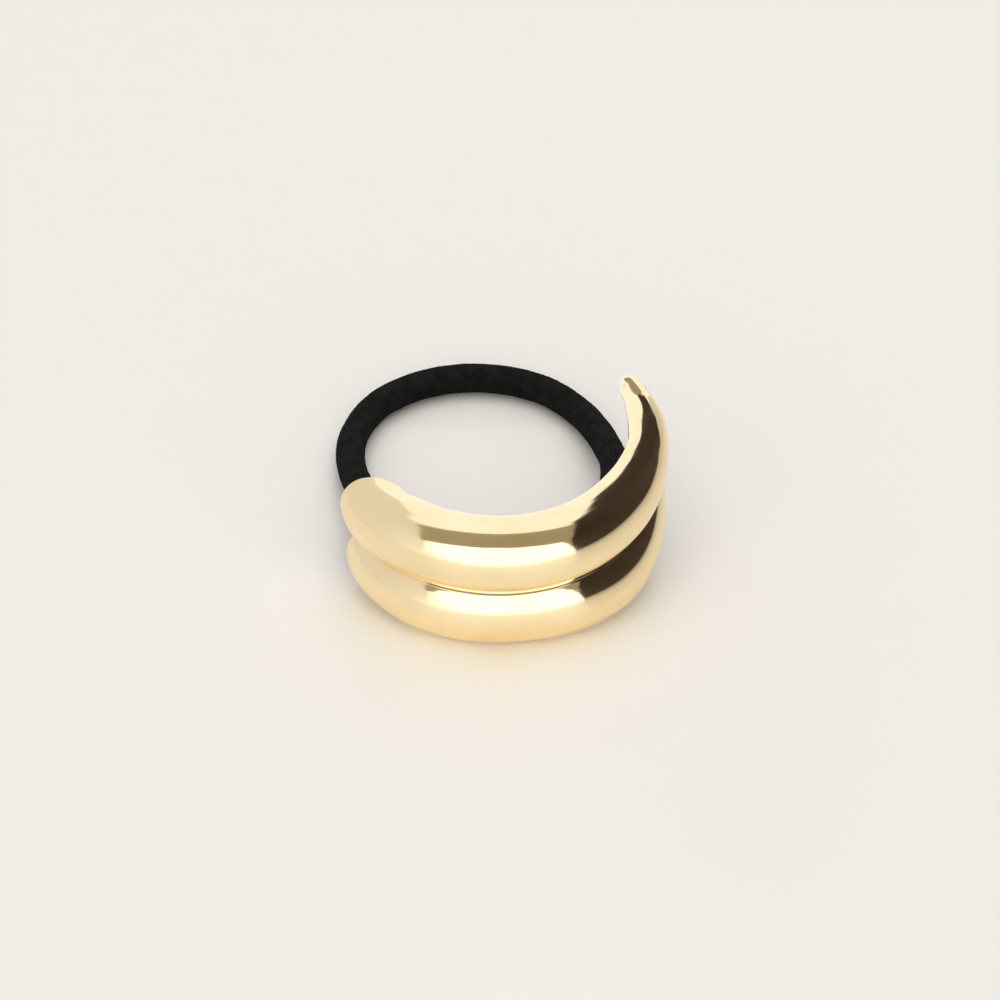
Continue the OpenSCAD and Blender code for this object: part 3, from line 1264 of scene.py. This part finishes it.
@dataclass(frozen=True)
class PolishedGold:
    """Polished pale gold plate: a soft mirror with faint waves, hairlines, handling marks and
    painted shade in the crease.
    """

    colour: Colour = (1.0, 0.83, 0.52)
    deep_colour: Colour = (0.97, 0.78, 0.46)
    roughness: float = 0.075
    smudge_roughness: float = 0.035
    # Colour of the painted shade in the crease between the ribs.
    crease_shade_colour: Colour = (0.13, 0.1, 0.07)
    wave_size: float = 7.0
    wave_span: Flat = (0.35, 0.7)
    wave_height: float = 0.0016
    smudge_scale: float = 0.35
    smudge_span: Flat = (0.35, 0.75)
    hairline_height: float = 0.0002
    hairlines: tuple[tuple[Point, Point], ...] = (
        ((7000, 500, 500), (0.3, 0.5, 0.4)),
        ((500, 600, 8000), (0.5, 0.2, 0.1)),
    )

    def material(self) -> bpy.types.Material:
        """Builds the finish.

        Returns:
            The material.
        """
        made, paint, shader = new_material("polished_gold")
        plain = paint.object_point(PER_MM)
        cloud = paint.noise(plain, 1 / self.wave_size, detail=2.0)
        smudge = paint.noise(plain, self.smudge_scale, detail=5.0)
        depth = paint.ranged(cloud, self.wave_span, (0.0, 1.0))
        gold = paint.blended(depth, self.colour, self.deep_colour)
        # Painted shade: the gold turns dark brown where the casting's crease mask is high.
        crease_shade = paint.add("ShaderNodeAttribute", attribute_name="crease_shade").outputs["Fac"]
        paint.link(paint.blended(crease_shade, gold, self.crease_shade_colour), shader.inputs["Base Color"])
        dullest = self.roughness + self.smudge_roughness
        rough = paint.ranged(smudge, self.smudge_span, (self.roughness, dullest))
        paint.link(rough, shader.inputs["Roughness"])
        normal = paint.bump(cloud, self.wave_height * MM)
        for stretch, turn in self.hairlines:
            lines = paint.noise(paint.object_point(stretch, turn), 1.0, detail=2.0)
            normal = paint.bump(lines, self.hairline_height * MM, normal)
        paint.link(normal, shader.inputs["Normal"])
        shader.inputs["Metallic"].default_value = 1.0
        return made


@dataclass(frozen=True)
class BlackYarn:
    """Matt black spun yarn, each strand a little different, with fine fibres along it."""

    dark: Colour = srgb(14, 14, 15)
    light: Colour = srgb(31, 31, 30)
    roughness: float = 1.0
    shine: float = 0.02
    sheen: float = 0.015
    sheen_roughness: float = 0.5
    strand_share: float = 0.15
    fibre_scale: float = 9.0
    fibre_span: Flat = (0.3, 0.75)
    fibre_share: float = 0.45
    fibre_height: float = 0.03
    patch_scale: float = 0.6
    patch_span: Flat = (0.35, 0.7)
    patch_share: float = 0.6

    def material(self, name: str) -> bpy.types.Material:
        """Builds the finish.

        Args:
            name: the material's name.

        Returns:
            The material.
        """
        made, paint, shader = new_material(name)
        strand = paint.add("ShaderNodeAttribute", attribute_name="yarn").outputs["Fac"]
        plain = paint.object_point(PER_MM)
        fibres = paint.noise(plain, self.fibre_scale, detail=4.0)
        patches = paint.noise(plain, self.patch_scale, detail=2.0)
        tone = paint.math("MULTIPLY", strand, self.strand_share)
        fleck = paint.ranged(fibres, self.fibre_span, (0.0, self.fibre_share))
        patch = paint.ranged(patches, self.patch_span, (0.0, self.patch_share))
        share = paint.math("ADD", paint.math("ADD", tone, fleck), patch)
        paint.link(paint.blended(share, self.dark, self.light), shader.inputs["Base Color"])
        paint.link(paint.bump(fibres, self.fibre_height * MM), shader.inputs["Normal"])
        shader.inputs["Roughness"].default_value = self.roughness
        shader.inputs["Specular IOR Level"].default_value = self.shine
        shader.inputs["Sheen Weight"].default_value = self.sheen
        shader.inputs["Sheen Roughness"].default_value = self.sheen_roughness
        return made


@dataclass(frozen=True)
class DrawnMetal:
    """Plain drawn metal of the crimp, slightly grey, with lines along its length."""

    light: Colour = srgb(205, 203, 198)
    dull: Colour = srgb(168, 165, 158)
    roughness: float = 0.3
    line_roughness: float = 0.15
    line_stretch: Point = (150, 9000, 9000)
    line_span: Flat = (0.3, 0.7)
    line_height: float = 0.002
    stain_scale: float = 0.9
    stain_span: Flat = (0.35, 0.7)

    def material(self) -> bpy.types.Material:
        """Builds the finish.

        Returns:
            The material.
        """
        made, paint, shader = new_material("drawn_metal")
        lines = paint.noise(paint.object_point(self.line_stretch), 1.0, detail=3.0)
        stain = paint.noise(paint.object_point(PER_MM), self.stain_scale, detail=4.0)
        share = paint.ranged(stain, self.stain_span, (0.0, 1.0))
        paint.link(paint.blended(share, self.light, self.dull), shader.inputs["Base Color"])
        dullest = self.roughness + self.line_roughness
        rough = paint.ranged(lines, self.line_span, (self.roughness, dullest))
        paint.link(rough, shader.inputs["Roughness"])
        paint.link(paint.bump(lines, self.line_height * MM), shader.inputs["Normal"])
        shader.inputs["Metallic"].default_value = 1.0
        return made


@dataclass
class PhotoCamera:
    """The camera: straight in front of the cuff, looking down at the table from far off."""

    elevation: float = 37.0
    distance: float = 2000.0
    view_width: float = 146.3
    sensor_width: float = 36.0
    aim: Point = (0.44, 13.76, 0.0)
    clip: Flat = (50.0, 50000.0)

    def build(self) -> bpy.types.Object:
        """Makes the camera and gives it to the scene.

        Returns:
            The camera's object.
        """
        lens = bpy.data.cameras.new("camera")
        lens.sensor_width = self.sensor_width
        lens.lens = self.sensor_width * self.distance / self.view_width
        lens.clip_start, lens.clip_end = (end * MM for end in self.clip)
        made = bpy.data.objects.new("camera", lens)
        bpy.context.scene.collection.objects.link(made)
        turn = math.radians(self.elevation)
        back = Vector((0, -math.cos(turn), math.sin(turn)))
        made.location = (Vector(self.aim) + back * self.distance) * MM
        made.rotation_mode = "QUATERNION"
        made.rotation_quaternion = (-back).to_track_quat("-Z", "Y")
        bpy.context.scene.camera = made
        return made


class TentColumn(Enum):
    """What each column of a panel's outline holds."""

    BEARING = 0
    LOW = 1
    HIGH = 2
    LEVEL_LOW = 3
    LEVEL_HIGH = 4


@dataclass(frozen=True)
class Panel:
    """One panel of the light tent, as a piece of a dome that shines inwards.

    Its outline is rows of (bearing, lowest height, highest height, level there, level there).
    Bearings run from the camera's side (-Y) towards +X, and heights from the horizon up.
    """

    name: str
    colour: Colour
    outline: tuple[tuple[float, float, float, float, float], ...]
    cell: float = 3.0
    thrown: float = 1.0
    lights_table: bool = True

    def columns(self) -> list[Vector]:
        """Returns the outline's rows with enough rows between them to look round."""
        made = [Vector(self.outline[0])]
        for a, b in zip(self.outline, self.outline[1:]):
            turn = b[TentColumn.BEARING.value] - a[TentColumn.BEARING.value]
            count = max(1, round(turn / self.cell))
            made += [Vector(a).lerp(Vector(b), i / count) for i in range(1, count + 1)]
        return made

    def build(self, radius: float) -> bpy.types.Object:
        """Makes the panel, which isn't seen by the camera.

        Args:
            radius: the dome's radius at this panel, in metres.

        Returns:
            The panel's object.
        """
        columns = self.columns()
        low, high = TentColumn.LOW.value, TentColumn.HIGH.value
        tallest = max(column[high] - column[low] for column in columns)
        rows = max(2, round(tallest / self.cell))
        points: list[Point] = []
        levels: list[float] = []
        for column in columns:
            turn = math.radians(column[TentColumn.BEARING.value])
            for up in steps(0, 1, rows):
                rise = math.radians(mix(column[low], column[high], up))
                flat, top = radius / MM * math.cos(rise), radius / MM * math.sin(rise)
                points.append((flat * math.sin(turn), -flat * math.cos(turn), top))
                levels.append(
                    mix(
                        column[TentColumn.LEVEL_LOW.value],
                        column[TentColumn.LEVEL_HIGH.value],
                        up,
                    )
                )
        row = rows + 1
        faces = [
            (i * row + j, i * row + j + 1, (i + 1) * row + j + 1, (i + 1) * row + j)
            for i in range(len(columns) - 1)
            for j in range(rows)
        ]
        made = new_mesh("tent_" + self.name, points, faces)
        made.data.attributes.new("level", "FLOAT", "POINT").data.foreach_set("value", levels)
        made.data.materials.append(self.glow())
        made.visible_camera = False
        made.visible_diffuse = made.visible_shadow = self.lights_table
        return made

    def glow(self) -> bpy.types.Material:
        """Makes the light that the panel gives off, brighter where its level is higher.

        Light that the gold throws on to the table is changed by the panel's thrown share.

        Returns:
            The material.
        """
        made, paint, strength = new_glow("tent_" + self.name, self.colour)
        level = paint.add("ShaderNodeAttribute", attribute_name="level").outputs["Fac"]
        if self.thrown != 1:
            ray = paint.add("ShaderNodeLightPath").outputs
            thrown = paint.add(
                "ShaderNodeMath",
                {0: ray["Diffuse Depth"], 1: ray["Is Glossy Ray"]},
                operation="MULTIPLY",
                use_clamp=True,
            )
            gain = paint.ranged(thrown.outputs[0], (0.0, 1.0), (1.0, self.thrown))
            level = paint.math("MULTIPLY", level, gain)
        paint.link(level, strength)
        return made


CEILING = Panel(
    "ceiling",
    (1.0, 0.91, 0.69),
    (
        (-180, 0, 90, 0.4, 0.4),
        (-60, 0, 90, 0.37, 0.37),
        (60, 0, 90, 0.34, 0.34),
        (180, 0, 90, 0.4, 0.4),
    ),
)
BACK_WALL = Panel(
    "back_wall",
    (1.0, 1.0, 1.05),
    (
        (105, 0, 55, 1.08, 1.08),
        (112, 0, 64, 1.08, 1.08),
        (120, 0, 70, 1.08, 1.08),
        (132, 0, 75, 1.08, 1.08),
        (150, 0, 78, 1.08, 1.08),
        (180, 0, 80, 1.08, 1.08),
        (210, 0, 78, 1.08, 1.08),
        (228, 0, 75, 1.08, 1.08),
        (240, 0, 70, 0.95, 0.95),
        (250, 0, 60, 0.8, 0.8),
    ),
)
LEFT_WALL = Panel(
    "left_wall",
    (1.0, 0.97, 0.97),
    (
        (-177, 0, 41, 0.78, 0.78),
        (-168, 0, 45, 0.78, 0.78),
        (-158, 0, 51, 0.77, 0.77),
        (-150, 0, 54.5, 0.77, 0.77),
        (-131, 0, 58, 0.77, 0.77),
        (-112, 0, 61, 0.77, 0.77),
        (-91, 0, 58, 0.79, 0.77),
        (-77, 0, 52, 0.82, 0.8),
        (-68, 0, 44, 0.86, 0.84),
        (-58, 0, 33, 0.92, 0.9),
        (-52, 0, 20, 0.95, 0.95),
    ),
)
SOFTBOX = Panel(
    "softbox",
    (1.0, 1.0, 1.0),
    (
        (-60, 36, 38, 1.1, 1.3),
        (-56, 30, 42, 1.1, 1.4),
        (-52, 12, 44, 1.1, 1.5),
        (-45, 11, 47.5, 1.3, 1.8),
        (-30, 11, 53, 1.8, 1.8),
        (0, 11, 57, 1.8, 1.8),
        (30, 11, 53, 1.8, 1.8),
        (45, 11, 47.4, 1.8, 1.8),
        (51, 11, 44, 1.6, 1.8),
    ),
    thrown=0.6,
)
SOFTBOX_FOOT = Panel(
    "softbox_foot",
    (1.0, 1.0, 1.0),
    (
        (-60, 0, 12, 0.9, 0.95),
        (-52, 0, 12, 0.95, 1.1),
        (-45, 0, 11, 1.0, 1.3),
        (-30, 0, 11, 1.1, 1.8),
        (0, 0, 11, 1.15, 1.8),
        (30, 0, 11, 1.1, 1.8),
        (45, 0, 11, 1.0, 1.8),
        (51, 0, 11, 0.9, 1.6),
    ),
    thrown=16.0,
)
DARK_ROOM = Panel(
    "dark_room",
    (1.0, 0.78, 0.62),
    (
        (51, 10, 25, 0.06, 0.05),
        (58, 9, 43, 0.06, 0.035),
        (68, 9, 52, 0.06, 0.03),
        (79, 9, 59, 0.055, 0.03),
        (95, 9, 63, 0.05, 0.03),
        (112, 9, 65.5, 0.05, 0.03),
        (128, 10, 66, 0.06, 0.03),
        (138, 20, 63, 0.05, 0.03),
        (146, 27, 60, 0.05, 0.03),
        (153, 33, 57, 0.04, 0.03),
        (162, 37, 52, 0.04, 0.03),
        (166, 38, 49, 0.04, 0.03),
    ),
    lights_table=False,
)
RIGHT_WALL = Panel(
    "right_wall",
    (1.0, 0.97, 0.96),
    (
        (51, 0, 10, 0.75, 0.3),
        (68, 0, 9, 0.66, 0.25),
        (95, 0, 9, 0.64, 0.25),
        (112, 0, 9, 0.64, 0.3),
        (128, 0, 10, 0.66, 0.5),
        (140, 0, 22, 0.66, 0.62),
        (153, 0, 33, 0.7, 0.66),
    ),
    thrown=5.0,
)
TENT = (CEILING, BACK_WALL, LEFT_WALL, SOFTBOX, SOFTBOX_FOOT, DARK_ROOM, RIGHT_WALL)
STRIP = Panel(
    "strip",
    (1.0, 1.0, 1.0),
    (
        (-42, 36, 40.3, 1.2, 1.4),
        (-39, 30, 41.6, 1.5, 1.6),
        (-34, 25, 43.8, 1.8, 1.8),
        (-22, 25, 46.9, 1.8, 1.8),
        (0, 25, 49.2, 1.8, 1.8),
        (22, 25, 46.9, 1.8, 1.8),
        (34, 25, 43.8, 1.8, 1.8),
        (38, 25, 42, 1.8, 1.8),
    ),
    thrown=0.6,
    lights_table=False,
)


@dataclass(frozen=True)
class Card:
    """A small card behind the cuff, which only the gold's reflections show."""

    name: str
    back: float
    colour: Colour
    level: float
    outline: tuple[Flat, ...]

    def build(self) -> None:
        """Makes the card, which casts no shadow and isn't seen by the camera."""
        points = [(x, self.back, z) for x, z in self.outline]
        card = new_mesh(self.name, points, [tuple(range(len(points)))])
        glow, _, strength = new_glow(self.name, self.colour)
        strength.default_value = self.level
        card.data.materials.append(glow)
        card.visible_camera = card.visible_diffuse = card.visible_shadow = False


FLAG = Card(
    "flag",
    32.0,
    (1.0, 0.78, 0.62),
    0.035,
    (
        (9.8, 39.5),
        (11.2, 42.0),
        (11.7, 46.0),
        (13.0, 51.5),
        (15.8, 56.8),
        (19.3, 66.1),
        (26.0, 81.0),
        (32.0, 94.0),
        (52.0, 94.0),
        (52.0, 32.0),
        (40.0, 33.5),
        (34.0, 37.0),
        (25.0, 41.0),
        (18.0, 42.5),
    ),
)
SCRIM = Card(
    "scrim",
    18.0,
    (1.0, 0.92, 0.74),
    0.34,
    (
        (13.5, 26.5),
        (15.0, 28.6),
        (17.0, 29.4),
        (19.0, 29.0),
        (22.0, 28.2),
        (22.6, 25.6),
        (20.0, 24.4),
        (18.6, 22.6),
        (16.6, 21.4),
        (14.6, 23.8),
    ),
)
REFLECTOR = Card(
    "reflector",
    32.4,
    (1.0, 1.0, 1.05),
    1.08,
    (
        (-26.0, 0.5),
        (22.0, 0.5),
        (22.0, 60.0),
        (36.0, 106.0),
        (-43.0, 106.0),
        (-37.0, 93.0),
        (-31.0, 80.0),
        (-28.0, 72.0),
        (-24.5, 65.0),
        (-22.5, 60.5),
        (-21.0, 57.0),
        (-18.8, 53.0),
        (-17.4, 50.5),
        (-16.6, 48.0),
        (-16.2, 45.0),
        (-26.0, 40.0),
    ),
)


@dataclass
class Studio:
    """The pale table, the light tent that the gold mirrors and the soft light from above."""

    table_colour: Colour = srgb(214, 211, 206)
    table_size: float = 9.0
    table_roughness: float = 0.4
    table_shine: float = 0.4
    sky_colour: Colour = srgb(235, 232, 227)
    tent_radius: float = 4.0
    tent_gap: float = 0.02
    strip_radius: float = 0.06
    top_height: float = 1.6
    top_size: float = 2.0
    top_power: float = 15.0

    def build(self) -> None:
        """Makes the table, the tent and the faint light that fills its gaps."""
        half = self.table_size / MM / 2
        corners = [(-half, -half, 0), (half, -half, 0), (half, half, 0), (-half, half, 0)]
        table = new_mesh("table", corners, [(0, 1, 2, 3)])
        made, _, shader = new_material("table_top")
        shader.inputs["Base Color"].default_value = (*self.table_colour, 1)
        shader.inputs["Roughness"].default_value = self.table_roughness
        shader.inputs["Specular IOR Level"].default_value = self.table_shine
        table.data.materials.append(made)
        for i, panel in enumerate(TENT):
            panel.build(self.tent_radius - i * self.tent_gap)
        STRIP.build(self.strip_radius)
        for card in (FLAG, SCRIM, REFLECTOR):
            card.build()
        self.top_light()
        world = bpy.data.worlds.new("fill")
        bpy.context.scene.world = world
        world.use_nodes = True
        sky = world.node_tree.nodes["Background"]
        sky.inputs["Color"].default_value = (*self.sky_colour, 1)
        sky.inputs["Strength"].default_value = 1.0
        view = bpy.context.scene.view_settings
        view.view_transform = "Standard"
        view.look = "None"

    def top_light(self) -> None:
        """Adds the broad light over the table, which the gold doesn't mirror."""
        light = bpy.data.lights.new("top_light", "AREA")
        light.shape = "DISK"
        light.size = self.top_size
        light.energy = self.top_power
        made = bpy.data.objects.new("top_light", light)
        made.location = (0, 0, self.top_height)
        made.visible_camera = False
        made.visible_glossy = False
        bpy.context.scene.collection.objects.link(made)


def dressed(piece: bpy.types.Object, finish: bpy.types.Material, slot: str) -> bpy.types.Object:
    """Gives a piece its finish and its body.

    Args:
        piece: the piece.
        finish: its material.
        slot: not used.

    Returns:
        The same piece.
    """
    piece.data.materials.clear()
    piece.data.materials.append(finish)
    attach(piece, BODY)
    LOG.info("%s: %d faces", piece.name, len(piece.data.polygons))
    return piece


def build_elastic(elastic: CoveredElastic) -> None:
    """Args:
        elastic: the elastic's sizes.
    """
    yarn, lint = BlackYarn(), BlackYarn(dark=srgb(15, 15, 16), light=srgb(38, 38, 37))
    core_finish, fuzz_finish = yarn.material("yarn_core"), lint.material("lint")
    yarn_finish = yarn.material("yarn")
    core = dressed(elastic.core("elastic_core", elastic.core_diameter), core_finish, "elastic_cover")
    pieces = [
        dressed(elastic.braid(lay, yarn_finish), yarn_finish, "elastic_cover") for lay in Lay
    ]
    pieces.append(dressed(elastic.fuzz(fuzz_finish), fuzz_finish, "elastic_cover"))
    crimp = dressed(ElasticCrimp().build(), DrawnMetal().material(), "crimp_metal")
    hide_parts("elastic_loop")
    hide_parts("elastic_crimp")


def build_cuff(casting: CuffCasting) -> None:
    """Builds the gold casting and the bars brazed across its hollow.

    Args:
        casting: the casting's sizes.
    """
    gold = PolishedGold().material()
    shell = dressed(casting.build(), gold, "cuff_metal")
    dressed(KeeperBars(casting).build(), gold, "cuff_metal")
    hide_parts("cuff")


def main() -> None:
    logging.basicConfig(level=logging.INFO, format="%(message)s")
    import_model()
    PhotoCamera().build()
    build_elastic(CoveredElastic())
    build_cuff(CuffCasting())
    Studio().build()


if __name__ == "__main__":
    main()
